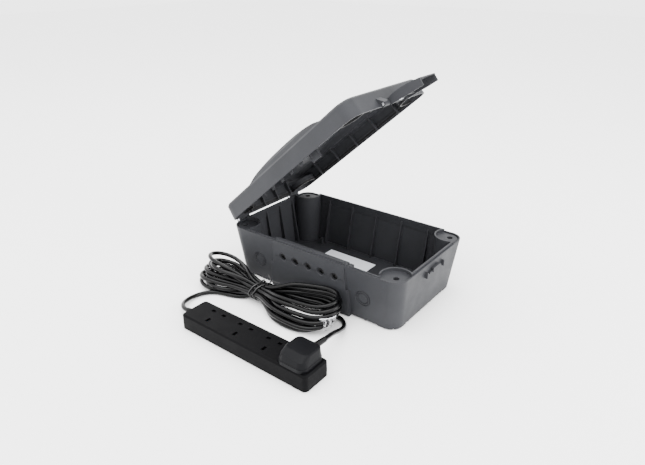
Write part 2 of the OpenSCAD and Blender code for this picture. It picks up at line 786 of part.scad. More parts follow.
// A safety shutter: a plate over the live and neutral contacts, and a stem with a ramp for the earth pin.
module shutter(i) {
    open_by = i == plug_at ? shutter_travel : 0;
    color([0.16, 0.16, 0.17]) translate([socket_x(i), strip_y + open_by, 0]) difference() {
        union() {
            block(-16, 16, 7, 15, shutter_z, shutter_z + shutter_t);
            block(-4, 4, -8.2, 8, shutter_z, shutter_z + shutter_t);
            translate([4, 0, 0]) rotate([90, 0, -90]) linear_extrude(8)
                polygon([[5, shutter_z + 0.2], [8.2, shutter_z + 0.2], [8.2, shutter_z - 0.5],
                    [5, shutter_z - 4]]);
        }
        for (s = [-1, 1]) block(s * 9 - 1.2, s * 9 + 1.2, 13.6, 16, shutter_z - 1, shutter_z + 3);
    }
}

module shutter_1() {
    shutter(0);
}

module shutter_2() {
    shutter(1);
}

module shutter_3() {
    shutter(2);
}

module shutter_4() {
    shutter(3);
}

// A tension spring from a post to each shutter's plate, which draws the shutter shut.
module shutter_springs() {
    color(steel) for (i = [0:socket_n - 1]) {
        y1 = 6.7 + (i == plug_at ? shutter_travel : 0);
        translate([socket_x(i) + spring_x, strip_y, shutter_z + 1])
            tube([for (k = [0:spring_steps]) [1.4 * cos(30 * k), -5 + (y1 + 5) * k / spring_steps,
                1.4 * sin(30 * k)]], 0.5, 6, [0, 1, 0]);
    }
}

// Short conductors from the cord clamp to the rails.
module live_wire() {
    color([0.35, 0.18, 0.09]) tube([[core_x, strip_y + 1.6, 12], [core_x + 2, strip_y + 9, 12],
        [rail_x0 - 3, strip_y + 17, 8.5], [rail_x0 + 1, strip_y + 20.2, 6]], 2.2, 8);
}

module neutral_wire() {
    color([0.1, 0.2, 0.5]) tube([[core_x, strip_y, 14.8], [core_x + 4, strip_y + 2.6, 12],
        [rail_x0 + 1, strip_y + 4, 8], [rail_x0 + 5, strip_y + 3.9, 6]], 2.2, 8);
}

module earth_wire() {
    color([0.25, 0.5, 0.15]) tube([[core_x, strip_y - 1.6, 12], [core_x + 2, strip_y - 9, 11],
        [rail_x0 - 3, strip_y - 16, 8.5], [rail_x0 + 1, strip_y - 21.2, 6]], 2.2, 8);
}

// Bridge that holds the cord's sheath inside the strip, with its two screws.
module cord_clamp() {
    color([0.75, 0.75, 0.72]) difference() {
        block(clamp_x - 1, clamp_x + 4, strip_y - 12, strip_y + 12, foot_h + 1.6, 18.5);
        rod_x(cord_d, clamp_x - 2, clamp_x + 5, strip_y, gland_z);
        for (s = [-1, 1]) translate([clamp_x + 1.5, strip_y + s * 8.5, 8]) cylinder(d = 2.6, h = 12);
    }
}

module strip_gland() {
    color(black) {
        difference() {
            union() {
                translate([strip_x0, strip_y, gland_z]) rotate([0, -90, 0])
                    cylinder(d1 = 12.4, d2 = cord_d + 1.6, h = gland_l);
                rod_x(8.9, strip_x0, strip_x0 + 5, strip_y, gland_z);
                rod_x(cord_d, strip_x0 + 4, clamp_x + 4.6, strip_y, gland_z);
            }
            for (i = [0:3]) translate([strip_x0 - 3.2 - i * 2.8, strip_y, gland_z]) rotate([0, 90, 0])
                difference() {
                    cylinder(d = 16, h = 1);
                    translate([0, 0, -1]) cylinder(d = 9.6 - i * 0.4, h = 3);
                }
        }
    }
}

// ---------------------------------------------------------------- plug

module plug_frame() {
    translate([plug_x, strip_y, strip_h]) children();
}

module plug_base() {
    color(black) plug_frame() difference() {
        linear_extrude(6) rrect(plug_l, plug_l, 12);
        translate([0, 0, 1.8]) linear_extrude(6) rrect(plug_l - 5, plug_l - 5, 10);
        for (x = [-contact_dx, contact_dx]) block(x - 3.2, x + 3.2, contact_dy - 2, contact_dy + 2, -1, 3);
        block(-2, 2, -contact_dy - 4, -contact_dy + 4, -1, 3);
        translate([0, 0, -1]) cylinder(d = 4, h = 5);
        rod_y(9, 0, 20, 30, 6);
    }
}

module plug_cover() {
    rise = plug_h - 6;
    tilt = 4;
    color(black) plug_frame() difference() {
        hull() {
            translate([0, 0, 6]) linear_extrude(eps) rrect(plug_l - 1, plug_l - 1, 11.5, $fn = 48);
            translate([0, 0.5, 11]) linear_extrude(eps) rrect(plug_l - 3, plug_l - 3, 11, $fn = 48);
            translate([0, 0.5, plug_h - 6.5]) linear_extrude(eps)
                rrect(plug_l - 5, plug_l - 4.5, 10, $fn = 48);
            translate([0, 5.2, plug_h - 1.6]) linear_extrude(eps)
                rrect(plug_l - 6, plug_l - 13, 9, $fn = 48);
            translate([0, 5.7, plug_h]) linear_extrude(eps)
                rrect(plug_l - 9, plug_l - 17, 8, $fn = 48);
        }
        hull() {
            translate([0, 0, 5]) linear_extrude(eps) rrect(plug_l - 5, plug_l - 5, 9.5, $fn = 32);
            translate([0, tilt, 4 + rise]) linear_extrude(eps) rrect(plug_l - 12, plug_l - 18, 6, $fn = 32);
        }
        rod_y(9, 0, 15, 40, 6);
    }
}

module plug_screw() {
    color(steel) plug_frame() {
        translate([0, 0, 0.1]) cylinder(d = 3.9, h = 2.6);
        cylinder(d = 2.4, h = 12);
    }
}

// A flat pin with chamfered end, hanging below the plug's face. up is its length inside the plug.
module pin(x, y, w, d, length, up) {
    translate([x, y, 0]) hull() {
        block(-w / 2, w / 2, -d / 2, d / 2, 1.2 - length, up);
        block(-w / 2 + 1, w / 2 - 1, -d / 2 + 1, d / 2 - 1, -length, 0);
    }
}

module live_pin() {
    color(brass) plug_frame() pin(contact_dx, contact_dy, 6.3, 3.95, 17.7, 5);
}

module neutral_pin() {
    color(brass) plug_frame() difference() {
        pin(-contact_dx, contact_dy, 6.3, 3.95, 17.7, 10);
        rod_y(2.2, -contact_dx, 5, 20, 7.5);
    }
}

module earth_pin() {
    color(brass) plug_frame() difference() {
        pin(0, -contact_dy, 3.95, 7.9, 22.7, 10);
        rod_y(2.2, 0, -20, 0, 7.5);
    }
}

// Insulating sleeves on the upper part of the live and neutral pins.
module pin_sleeves() {
    color([0.08, 0.08, 0.09]) plug_frame() for (x = [-contact_dx, contact_dx])
        translate([x, contact_dy, 0]) difference() {
            block(-3.35, 3.35, -2.2, 2.2, -8, -0.05);
            block(-3.15, 3.15, -1.975, 1.975, -9, 1);
        }
}

module fuse() {
    color([0.85, 0.83, 0.78]) plug_frame() {
        rod_y(5.8, contact_dx + 3, -13.6, 11.6, 9.2);
    }
}

module fuse_clips() {
    color(brass) plug_frame() for (y = [-13.4, 6.4]) translate([contact_dx + 3, y, 0]) difference() {
        union() {
            rod_y(7.4, 0, 0, 5, 9.2);
            block(-2, 2, 0, 5, y > 0 ? 5.1 : 1.9, 7);
        }
        rod_y(5.84, 0, -1, 6, 9.2);
        block(-2.2, 2.2, -1, 6, 10.4, 15);
    }
}

module plug_cord_grip() {
    color([0.7, 0.7, 0.68]) plug_frame() difference() {
        block(-9, 9, 15.4, 19.4, 2, 3.4);
        for (s = [-1, 1]) translate([s * 7, 17.4, 0]) cylinder(d = 2.4, h = 6);
    }
}

// Cores of the lead inside the plug: earth, neutral and live.
module plug_wires() {
    z = 6;
    color([0.3, 0.25, 0.2]) plug_frame() {
        tube([[0, 19.5, z], [-3, 12, z + 1], [-4.6, 2, z + 2.6], [-1.2, -5.6, z + 1.6]], 2, 8);
        tube([[-2.4, 19.5, z + 1], [-6, 17.6, z + 1.4], [-9.5, 15.9, z + 1.5], [-contact_dx, 13.3, z + 1.5]],
            2, 8);
        tube([[2.4, 19.5, z], [5, 12, z - 1], [8, 0, z - 2.5], [contact_dx - 1.6, -11, z - 2.4]], 2, 8);
    }
}

// Tapered strain relief that rises out of the plug's back edge.
module plug_gland() {
    start = [plug_x, strip_y + plug_l / 2 + 0.5, strip_h + 6];
    path = plug_exit - start;
    turn = atan2(path[1], path[0]);
    dip = 90 - atan2(path[2], norm([path[0], path[1]]));
    color(black) {
        translate(start) rotate([0, 0, turn]) rotate([0, dip, 0])
            cylinder(d1 = 10.5, d2 = cord_d + 1.2, h = norm(path));
        plug_frame() rod_y(8.8, 0, 20.5, plug_l / 2 + 1, 6);
    }
}

// ---------------------------------------------------------------- cord

module cord_from_strip() {
    color(black) tube(from_strip, cord_d);
}

module cord_to_plug() {
    color(black) tube(to_plug, cord_d);
}

// Half the hank's width at s, from -1 at one end to 1 at the other.
function hank_half(s) = (hank_waist + (hank_w / 2 - hank_waist) * pow(sin(90 * min(1, abs(s) / 0.55)), 2))
    * sqrt(max(0, 1 - pow(abs(s), 5)));

module cord_hank() {
    steps = 20;
    along = [for (i = [0:steps]) sin(90 * (2 * i / steps - 1))];
    upper = [for (s = along) [hank_l / 2 * s, hank_half(s)]];
    lower = [for (i = [steps - 1:-1:1]) [upper[i][0], -upper[i][1]]];
    color(black) translate([hank_x, hank_y, 0]) linear_extrude(hank_h) polygon(concat(upper, lower));
}

// Two ties round the hank's waist.
module hank_ties() {
    color([0.1, 0.1, 0.1]) for (dx = [-13, -4]) translate([hank_x + dx, hank_y, 0]) difference() {
        block(-1.2, 1.2, -hank_waist - 2.2, hank_waist + 2.2, 0, hank_h + 1.2);
        block(-2, 2, -hank_waist - 0.9, hank_waist + 0.9, -1, hank_h + 0.05);
    }
}

// Clear wrap round the cord where it leaves the hank.
module cord_tag() {
    color([0.85, 0.85, 0.87]) translate([hank_x + 140.3, hank_y - 12.6, 0]) rotate([0, 0, 62])
        block(-8, 8, -0.6, 0.2, 9, 31);
}

// ---------------------------------------------------------------- nodes

base();
lid();
lid_seal();
hinge_pins();
latch_lever();
latch_axle();
entry_bar();
entry_seal_upper();
entry_seal_lower();
floor_label();
strip_cover();
strip_base();
strip_feet();
strip_screws();
live_rail();
neutral_rail();
earth_rail();
shutter_1();
shutter_2();
shutter_3();
shutter_4();
shutter_springs();
live_wire();
neutral_wire();
earth_wire();
cord_clamp();
strip_gland();
plug_base();
plug_cover();
plug_screw();
live_pin();
neutral_pin();
earth_pin();
pin_sleeves();
fuse();
fuse_clips();
plug_cord_grip();
plug_wires();
plug_gland();
cord_from_strip();
cord_hank();
cord_to_plug();
hank_ties();
cord_tag();
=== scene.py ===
"""Looks for the weatherproof connection box and its extension lead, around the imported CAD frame."""

import json
import math

import bmesh
import bpy
import numpy as np
from mathutils import Euler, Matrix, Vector, noise


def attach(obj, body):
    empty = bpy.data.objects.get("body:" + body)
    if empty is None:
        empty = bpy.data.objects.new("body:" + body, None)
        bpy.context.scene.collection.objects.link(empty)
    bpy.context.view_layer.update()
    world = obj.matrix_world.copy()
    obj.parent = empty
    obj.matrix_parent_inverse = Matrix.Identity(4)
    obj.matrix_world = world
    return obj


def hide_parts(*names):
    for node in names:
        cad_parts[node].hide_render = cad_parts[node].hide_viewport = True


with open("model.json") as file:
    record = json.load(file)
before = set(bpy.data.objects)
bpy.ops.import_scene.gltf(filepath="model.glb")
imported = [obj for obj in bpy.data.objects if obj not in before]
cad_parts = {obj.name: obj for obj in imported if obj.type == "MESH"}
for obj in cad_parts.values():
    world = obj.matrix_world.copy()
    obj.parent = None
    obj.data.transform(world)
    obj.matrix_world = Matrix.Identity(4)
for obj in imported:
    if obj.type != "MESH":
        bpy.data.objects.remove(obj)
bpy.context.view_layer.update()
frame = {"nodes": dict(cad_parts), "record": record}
NODES = frame["nodes"]
MM = 0.001


# ---------------------------------------------------------------- camera


def add_camera():
    data = bpy.data.cameras.new("camera")
    data.sensor_fit = "HORIZONTAL"
    data.sensor_width = 36.0
    data.lens = 31.97
    data.clip_start = 0.01
    camera = bpy.data.objects.new("camera", data)
    camera.location = (0.5234, -0.7411, 0.5217)
    camera.rotation_euler = Euler((math.radians(64.46), math.radians(0.0), math.radians(37.76)))
    bpy.context.scene.collection.objects.link(camera)
    bpy.context.scene.camera = camera


add_camera()


# ---------------------------------------------------------------- materials


def mix_colour(nt, factor, first, second, blend="MIX"):
    node = nt.nodes.new("ShaderNodeMix")
    node.data_type = "RGBA"
    node.blend_type = blend
    for socket, value in ((node.inputs[0], factor), (node.inputs[6], first), (node.inputs[7], second)):
        if isinstance(value, bpy.types.NodeSocket):
            nt.links.new(value, socket)
        elif isinstance(value, (int, float)):
            socket.default_value = value
        else:
            socket.default_value = (*value, 1)
    return node.outputs[2]


def ramp(nt, value, low, high, to_low=0.0, to_high=1.0):
    node = nt.nodes.new("ShaderNodeMapRange")
    nt.links.new(value, node.inputs["Value"])
    for name, number in (("From Min", low), ("From Max", high), ("To Min", to_low), ("To Max", to_high)):
        node.inputs[name].default_value = number
    return node.outputs["Result"]


def noise_of(nt, scale, detail=2.0, stretch=None):
    coords = nt.nodes.new("ShaderNodeTexCoord").outputs["Object"]
    if stretch:
        mapping = nt.nodes.new("ShaderNodeMapping")
        mapping.inputs["Scale"].default_value = stretch
        nt.links.new(coords, mapping.inputs["Vector"])
        coords = mapping.outputs["Vector"]
    node = nt.nodes.new("ShaderNodeTexNoise")
    node.inputs["Scale"].default_value = scale
    node.inputs["Detail"].default_value = detail
    nt.links.new(coords, node.inputs["Vector"])
    return node.outputs["Fac"]


def bumped(nt, height, strength, distance, normal=None):
    node = nt.nodes.new("ShaderNodeBump")
    node.inputs["Strength"].default_value = strength
    node.inputs["Distance"].default_value = distance
    nt.links.new(height, node.inputs["Height"])
    if normal:
        nt.links.new(normal, node.inputs["Normal"])
    return node.outputs["Normal"]


def new_material(name):
    mat = bpy.data.materials.new(name)
    mat.use_nodes = True
    nt = mat.node_tree
    return mat, nt, nt.nodes["Principled BSDF"]


def moulded(name, colour, rough=0.45, grain=1400, depth=0.05, round_r=0.0006, edge=0.35, mottle=0.12,
            gloss=0.5):
    """Moulded plastic: spark grain, faint flow mottling, softened edges that are polished by handling."""
    mat, nt, bsdf = new_material(name)
    bevel = nt.nodes.new("ShaderNodeBevel")
    bevel.samples = 4
    bevel.inputs["Radius"].default_value = round_r
    geometry = nt.nodes.new("ShaderNodeNewGeometry")
    dot = nt.nodes.new("ShaderNodeVectorMath")
    dot.operation = "DOT_PRODUCT"
    nt.links.new(bevel.outputs["Normal"], dot.inputs[0])
    nt.links.new(geometry.outputs["True Normal"], dot.inputs[1])
    worn = ramp(nt, dot.outputs["Value"], 0.995, 0.85, 0.0, 1.0)
    broad = ramp(nt, noise_of(nt, 14, 3), 0.3, 0.7)
    fine = noise_of(nt, grain, 2)
    shade = mix_colour(nt, broad, [c * (1 - mottle) for c in colour], [c * (1 + mottle) for c in colour])
    flecks = mix_colour(nt, ramp(nt, fine, 0.35, 0.7, 0, 0.35), shade, [c * 1.5 + 0.0005 for c in colour])
    scuffs = ramp(nt, noise_of(nt, 60, 6, (1, 0.25, 1)), 0.62, 0.75, 0, 0.12)
    scuffed = mix_colour(nt, scuffs, flecks, [c * 1.7 + 0.003 for c in colour])
    edge_mix = nt.nodes.new("ShaderNodeMath")
    edge_mix.operation = "MULTIPLY"
    edge_mix.inputs[1].default_value = edge
    nt.links.new(worn, edge_mix.inputs[0])
    nt.links.new(mix_colour(nt, edge_mix.outputs[0], scuffed, [c * 1.9 + 0.004 for c in colour]),
                 bsdf.inputs["Base Color"])
    nt.links.new(ramp(nt, noise_of(nt, 35, 4), 0.25, 0.75, rough - 0.06, rough + 0.07),
                 bsdf.inputs["Roughness"])
    bsdf.inputs["Specular IOR Level"].default_value = gloss
    nt.links.new(bumped(nt, fine, depth, 0.0004, bevel.outputs["Normal"]), bsdf.inputs["Normal"])
    return mat


def metal(name, colour, rough=0.3, stretch=(1, 1, 1), tarnish=0.3):
    """Drawn or plated metal: fine draw lines, uneven tarnish and softened edges."""
    mat, nt, bsdf = new_material(name)
    lines = noise_of(nt, 900, 3, stretch)
    stain = ramp(nt, noise_of(nt, 130, 4), 0.45, 0.75, 0, tarnish)
    nt.links.new(mix_colour(nt, stain, colour, [c * 0.45 for c in colour]), bsdf.inputs["Base Color"])
    nt.links.new(ramp(nt, lines, 0.3, 0.7, rough - 0.08, rough + 0.12), bsdf.inputs["Roughness"])
    bsdf.inputs["Metallic"].default_value = 1.0
    bevel = nt.nodes.new("ShaderNodeBevel")
    bevel.samples = 4
    bevel.inputs["Radius"].default_value = 0.0003
    nt.links.new(bumped(nt, lines, 0.06, 0.0002, bevel.outputs["Normal"]), bsdf.inputs["Normal"])
    return mat


def sheath(name, colour, rough=0.3):
    """Extruded PVC: a soft sheen, faint dust, and the slight waviness of a stripped-out lay of cores."""
    mat, nt, bsdf = new_material(name)
    dust = ramp(nt, noise_of(nt, 260, 5), 0.5, 0.8, 0, 0.25)
    nt.links.new(mix_colour(nt, dust, colour, [c * 2.2 + 0.002 for c in colour]), bsdf.inputs["Base Color"])
    nt.links.new(ramp(nt, noise_of(nt, 90, 4), 0.25, 0.75, rough - 0.07, rough + 0.1),
                 bsdf.inputs["Roughness"])
    bsdf.inputs["Specular IOR Level"].default_value = 0.16
    wave = bumped(nt, noise_of(nt, 120, 2), 0.18, 0.0006)
    nt.links.new(bumped(nt, noise_of(nt, 2200, 1), 0.05, 0.0002, wave), bsdf.inputs["Normal"])
    return mat


def label_film():
    """Pale satin film: a fine fibre in the face, and uneven patches of darker stain."""
    mat, nt, bsdf = new_material("label_film")
    fibre = noise_of(nt, 1500, 4, (1, 0.3, 1))
    stain = ramp(nt, noise_of(nt, 30, 5), 0.4, 0.8, 0, 0.3)
    nt.links.new(mix_colour(nt, stain, (0.78, 0.80, 0.84), (0.66, 0.69, 0.74)), bsdf.inputs["Base Color"])
    nt.links.new(ramp(nt, fibre, 0.2, 0.8, 0.35, 0.55), bsdf.inputs["Roughness"])
    nt.links.new(bumped(nt, fibre, 0.08, 0.0002), bsdf.inputs["Normal"])
    return mat


def clear_film():
    """Thin clear film: mostly see-through, with a painted glare on its creases, which are painted pale and
    made less see-through.
    """
    mat, nt, bsdf = new_material("clear_film")
    crease = ramp(nt, noise_of(nt, 420, 5, (1, 1, 0.4)), 0.42, 0.62)
    # Painted glare: the crease mask paints the creases pale and less see-through in place of the light they
    # catch; the same mask also bumps them.
    nt.links.new(mix_colour(nt, crease, (0.10, 0.10, 0.11), (0.75, 0.75, 0.78)), bsdf.inputs["Base Color"])
    nt.links.new(ramp(nt, crease, 0.3, 1, 0.10, 0.5), bsdf.inputs["Alpha"])
    bsdf.inputs["Roughness"].default_value = 0.12
    bsdf.inputs["Specular IOR Level"].default_value = 0.9
    nt.links.new(bumped(nt, crease, 0.5, 0.0006), bsdf.inputs["Normal"])
    return mat


MATERIALS = {
    "box_plastic": moulded("box_plastic", (0.0200, 0.0206, 0.0232), 0.5, 1300, 0.10, 0.0008, 0.30,
                          gloss=0.14),
    "seal_rubber": moulded("seal_rubber", (0.003, 0.003, 0.0033), 0.62, 900, 0.12, 0.0004, 0.15, gloss=0.3),
    "label_paper": label_film(),
    "strip_plastic": moulded("strip_plastic", (0.0016, 0.0016, 0.0019), 0.55, 1500, 0.12, 0.0007, 0.30,
                            gloss=0.04),
    "plug_plastic": moulded("plug_plastic", (0.0020, 0.0021, 0.0027), 0.42, 1700, 0.07, 0.0007, 0.28,
                           gloss=0.07),
    "shutter_plastic": moulded("shutter_plastic", (0.004, 0.004, 0.0045), 0.45, 1700, 0.04, 0.0003, 0.2,
                              gloss=0.1),
    "cord_pvc": sheath("cord_pvc", (0.0011, 0.0011, 0.0013), 0.2),
    "tie_plastic": moulded("tie_plastic", (0.003, 0.003, 0.0033), 0.3, 1500, 0.05, 0.0002, 0.2),
    "clear_film": clear_film(),
    "contact_brass": metal("contact_brass", (0.80, 0.60, 0.28), 0.28, (0.2, 1, 1)),
    "zinc_steel": metal("zinc_steel", (0.62, 0.63, 0.66), 0.32, (1, 1, 0.2), 0.2),
    "wire_brown": sheath("wire_brown", (0.14, 0.05, 0.02), 0.35),
    "wire_blue": sheath("wire_blue", (0.02, 0.07, 0.28), 0.35),
    "wire_green": sheath("wire_green", (0.10, 0.30, 0.03), 0.35),
    "clamp_plastic": moulded("clamp_plastic", (0.5, 0.5, 0.47), 0.45, 1500, 0.06, 0.0003, 0.1, 0.05),
    "fuse_ceramic": moulded("fuse_ceramic", (0.7, 0.67, 0.6), 0.3, 1200, 0.03, 0.0003, 0.05, 0.04),
}

for part in frame["record"]["subparts"]:
    slots = NODES[part["node"]].material_slots
    for slot in slots:
        slot.material = MATERIALS[part["material_slot"]]


# ---------------------------------------------------------------- the lead's cord

CORD_D = 7.2
FROM_STRIP = [[-122.5, -260, 13], [-132, -259, 12], [-141, -254.5, 11], [-149, -247, 9],
              [-154.5, -237.5, 7], [-157.6, -227, 5.5], [-158.3, -216, 4.2], [-156.2, -205.2, 3.8],
              [-150.6, -195.4, 3.8], [-142.4, -187.6, 3.8], [-132.4, -182.2, 3.8]]
TO_PLUG = [[58, -118, 5.2], [67, -117, 4.2], [76, -118, 3.8], [85, -122, 3.8], [92, -128.5, 4.2],
           [97, -137, 6], [100.5, -146.5, 9.5], [103.5, -157, 13.8], [106, -167.5, 18.4], [108.3, -178, 23],
           [110.6, -188, 26.8], [112.7, -198, 29.7], [114.5, -208, 31.8]]
WAIST = (-64.0, -150.0, 17.0)
WAIST_R = (20.5, 13.0)
HANK_LOW = (-196.0, -190.5, 0.0)
HANK_HIGH = (90.0, -109.0, 52.0)
# One row per turn, bottom to top. Each end is (reach from the waist, half width, middle across, height at
# the front, at the tip and at the back); the waist is (across, up) of the front and of the back strand.
TURNS = [
    ((137, 37, -1, 4, 12, 8), (127, 29, -9, 11.5, 8, 4), (-18, -6), (15, -7)),
    ((146, 36, 0, 11, 19, 15), (112, 25, -10, 12, 9, 7), (-11, -10), (9, -10)),
    ((126, 28, 2, 6, 12, 10), (130, 28, -5, 19, 16, 12), (-3, -8), (4, -8)),
    ((149, 33, 3, 18, 26, 23), (118, 25, -3, 21, 18, 13), (-19, 1), (17, 0)),
    ((134, 27, 4, 15, 21, 19), (130, 25, 3, 27, 24, 17), (-11, -2), (10, -1)),
    ((150, 29, 8, 25, 33, 32), (126, 24, 10, 34, 31, 22), (-4, 1), (8, 5)),
    ((149, 26, 11, 32, 40, 39), (112, 24, 4, 40, 37, 28), (-13, 8), (13, 8)),
    ((144, 24, 14, 39, 46, 46), (128, 23, 13, 46, 44, 34), (-5, 9), (2, 12)),
]


def smooth_path(points, spacing):
    """Points at equal spacing along a Catmull-Rom curve through the given ones."""
    p = np.array(points, float)
    p = np.vstack([2 * p[0] - p[1], p, 2 * p[-1] - p[-2]])
    out = []
    for i in range(1, len(p) - 2):
        a, b, c, d = p[i - 1:i + 3]
        for t in np.linspace(0, 1, 24, endpoint=False):
            out.append(0.5 * (2 * b + (c - a) * t + (2 * a - 5 * b + 4 * c - d) * t ** 2
                              + (3 * b - a - 3 * c + d) * t ** 3))
    out.append(p[-2])
    out = np.array(out)
    along = np.concatenate([[0], np.cumsum(np.linalg.norm(np.diff(out, axis=0), axis=1))])
    n = max(2, int(round(along[-1] / spacing)))
    at = np.linspace(0, along[-1], n + 1)
    return np.column_stack([np.interp(at, along, out[:, k]) for k in range(3)])


def lobe_points(end, side):
    """One turn's end, front strand to back strand; side is 1 at the right and -1 at the left."""
    reach, half, across, front, tip, back = end
    cx, cy, _ = WAIST
    pts = []
    for a in (-90, -58, -25, 0, 25, 58, 90):
        s, c = math.sin(math.radians(a)), math.cos(math.radians(a))
        height = tip + (back - tip) * max(s, 0) + (front - tip) * max(-s, 0)
        pts.append([cx + side * (reach - half * 1.15 * (1 - c)), cy + across + half * s, height])
    front_bulge, back_bulge = (0.92, 0.68) if side > 0 else (0.5, 0.5)
    pts.insert(0, [cx + side * reach * 0.33, cy + across * 0.5 - half * front_bulge, None])
    pts.append([cx + side * reach * 0.38, cy + across * 0.5 + half * back_bulge, None])
    return pts


def hank_points():
    """Control points of every turn, from the strip's side to the plug's, in millimetres."""
    cx, cy, cz = WAIST
    pts = [[-120, -177.6, 4.0], [-98, -170, 5.0], [cx, cy - 13, cz - 12]]
    for i, (right, left, front, back) in enumerate(TURNS):
        pts += lobe_points(right, 1)
        pts.append([cx, cy + back[0], cz + back[1]])
        pts += lobe_points(left, -1)[::-1]
        after = TURNS[i + 1][2] if i + 1 < len(TURNS) else (2, 4)
        pts.append([cx, cy + after[0], cz + after[1]])
    pts.append([cx + 40, cy + 19, 12])
    pts.append([cx + 80, cy + 29, 6])
    pts.append([cx + 110, cy + 33, 4.5])
    for i, p in enumerate(pts):
        if p[2] is None:
            p[2] = (pts[i - 1][2] + pts[i + 1][2]) / 2
    return pts


def relax(points, fixed, spacing, rounds):
    """Pushes strands apart to one diameter, keeps the spacing and the bends, and holds the tied waist."""
    p = points.copy()
    n = len(p)
    cx, cy, cz = WAIST
    near = np.abs(np.arange(n)[:, None] - np.arange(n)[None, :]) <= 4
    free = ((np.arange(n) > fixed[0]) & (np.arange(n) < fixed[1]))[:, None]
    low = np.array(HANK_LOW) + CORD_D / 2
    high = np.array(HANK_HIGH) - CORD_D / 2
    for r in range(rounds):
        d = p[:, None, :] - p[None, :, :]
        dist = np.sqrt((d ** 2).sum(2)) + 1e-9
        push = np.where(near, 0, np.clip(CORD_D * 1.01 - dist, 0, None)) / dist
        move = (d * push[:, :, None]).sum(1) * 0.42
        bend = np.zeros_like(p)
        bend[2:-2] = (-p[:-4] + 4 * p[1:-3] - 6 * p[2:-2] + 4 * p[3:-1] - p[4:]) * 0.06
        off = p[:, 1:] - np.array([cy, cz])
        away = np.sqrt(((off / (np.array(WAIST_R) - CORD_D / 2)) ** 2).sum(1)) + 1e-9
        hold = np.exp(-((p[:, 0] - cx) / 11) ** 2) * np.clip(1 - 1 / away, 0, 1)
        move[:, 1:] -= off * hold[:, None] * 0.5
        p += (move + bend) * free
        for _ in range(3):
            seg = p[1:] - p[:-1]
            length = np.linalg.norm(seg, axis=1) + 1e-9
            fix = seg * ((length - spacing) / length * 0.5)[:, None]
            p[:-1] += fix * free[:-1]
            p[1:] -= fix * free[1:]
        p = np.where(free, np.clip(p, low, high), p)
    return p


def cord_route():
    whole = smooth_path(FROM_STRIP + hank_points() + TO_PLUG, 7.0)
    start = next(i for i, q in enumerate(whole) if np.linalg.norm(q - FROM_STRIP[-1]) < 5)
    end = max(i for i, q in enumerate(whole) if np.linalg.norm(q - TO_PLUG[0]) < 5)
    spacing = np.linalg.norm(np.diff(whole, axis=0), axis=1).mean()
    return smooth_path(relax(whole, (start, end), spacing, 200), 3.0)


def tube_curve(name, lines, diameter, sides=4):
    """Round bars along lines of points given in millimetres, as one curve object.

    The bar's radius is each point's own radius, which Blender also counts in a curve's bounds.
    """
    data = bpy.data.curves.new(name, "CURVE")
    data.dimensions = "3D"
    for line in lines:
        spline = data.splines.new("POLY")
        spline.points.add(len(line) - 1)
        for point, q in zip(spline.points, line):
            point.co = (q[0] * MM, q[1] * MM, q[2] * MM, 1)
            point.radius = diameter * MM / 2
        spline.use_smooth = True
    data.bevel_depth = 1.0
    data.bevel_resolution = sides
    data.use_fill_caps = True
    obj = bpy.data.objects.new(name, data)
    bpy.context.scene.collection.objects.link(obj)
    return obj


def tube_mesh(name, lines, diameter, sides=3):
    """The same bars as a mesh object."""
    curve = tube_curve(name + "_line", lines, diameter, sides)
    bpy.context.view_layer.update()
    mesh = bpy.data.meshes.new_from_object(curve.evaluated_get(bpy.context.evaluated_depsgraph_get()))
    bpy.data.curves.remove(curve.data)
    obj = bpy.data.objects.new(name, mesh)
    bpy.context.scene.collection.objects.link(obj)
    return obj


route = cord_route()
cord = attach(tube_curve("lead_cord", [route], CORD_D), "lead")
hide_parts("cord_from_strip", "cord_hank", "cord_to_plug")
cord.data.materials.append(MATERIALS["cord_pvc"])


# ---------------------------------------------------------------- ties and film on the hank


def around_strands(x_mid, slant, gap):
    """A closed loop round every strand that crosses a slanting upright plane, in millimetres."""
    cy = WAIST[1]
    side = route[:, 0] - slant * (route[:, 1] - cy) - x_mid
    ring = []
    for i in np.flatnonzero(side[:-1] * side[1:] < 0):
        t = side[i] / (side[i] - side[i + 1])
        y, z = (route[i] + t * (route[i + 1] - route[i]))[1:]
        for a in np.linspace(0, 2 * math.pi, 16, endpoint=False):
            r = CORD_D / 2 + gap
            ring.append((y + r * math.cos(a), z + r * math.sin(a)))
    ring = sorted(q for q in ring if abs(q[0] - cy) < 34)
    hull = []
    for points in (ring, ring[::-1]):
        part = []
        for q in points:
            while len(part) > 1 and ((part[-1][0] - part[-2][0]) * (q[1] - part[-2][1])
                                     - (part[-1][1] - part[-2][1]) * (q[0] - part[-2][0])) <= 0:
                part.pop()
            part.append(q)
        hull += part[:-1]
    return [(x_mid + slant * (y - cy), y, max(z, gap)) for y, z in hull]


# One row per tie: where it sits along the hank, which way its twist stands up, and for each of its two
# free ends how far it reaches and which way it bends off.
TIES = [
    (-69, (-0.2, -0.5, 0.8), ((5, (-0.6, -0.7, 0.0)), (6, (0.5, -0.4, 0.7)))),
    (-60, (0.25, 0.55, 0.75), ((15, (0.9, 0.6, -0.25)), (12, (-0.7, 0.3, 0.75)))),
]
TIE_D = 2
TIE_SLANT = 0.22
TWIST_UP = 4.5


def free_end(knot, along, reach, bend, phase):
    """One end of a tie's wire: twisted round its partner at first, then bent off on its own."""
    line = []
    for t in np.linspace(0, 1, 15):
        turn = 7 * t + phase
        twist = 0.95 * max(0.0, 1 - 1.6 * t)
        q = knot + np.array(along) * TWIST_UP * min(t * 1.8, 1) + np.array(
            (twist * math.cos(turn), 0.7 * twist * math.sin(turn), 0.5 * twist * math.sin(turn)))
        line.append(tuple(q + np.array(bend) * reach * max(0.0, t - 0.45) * 1.8))
    return line


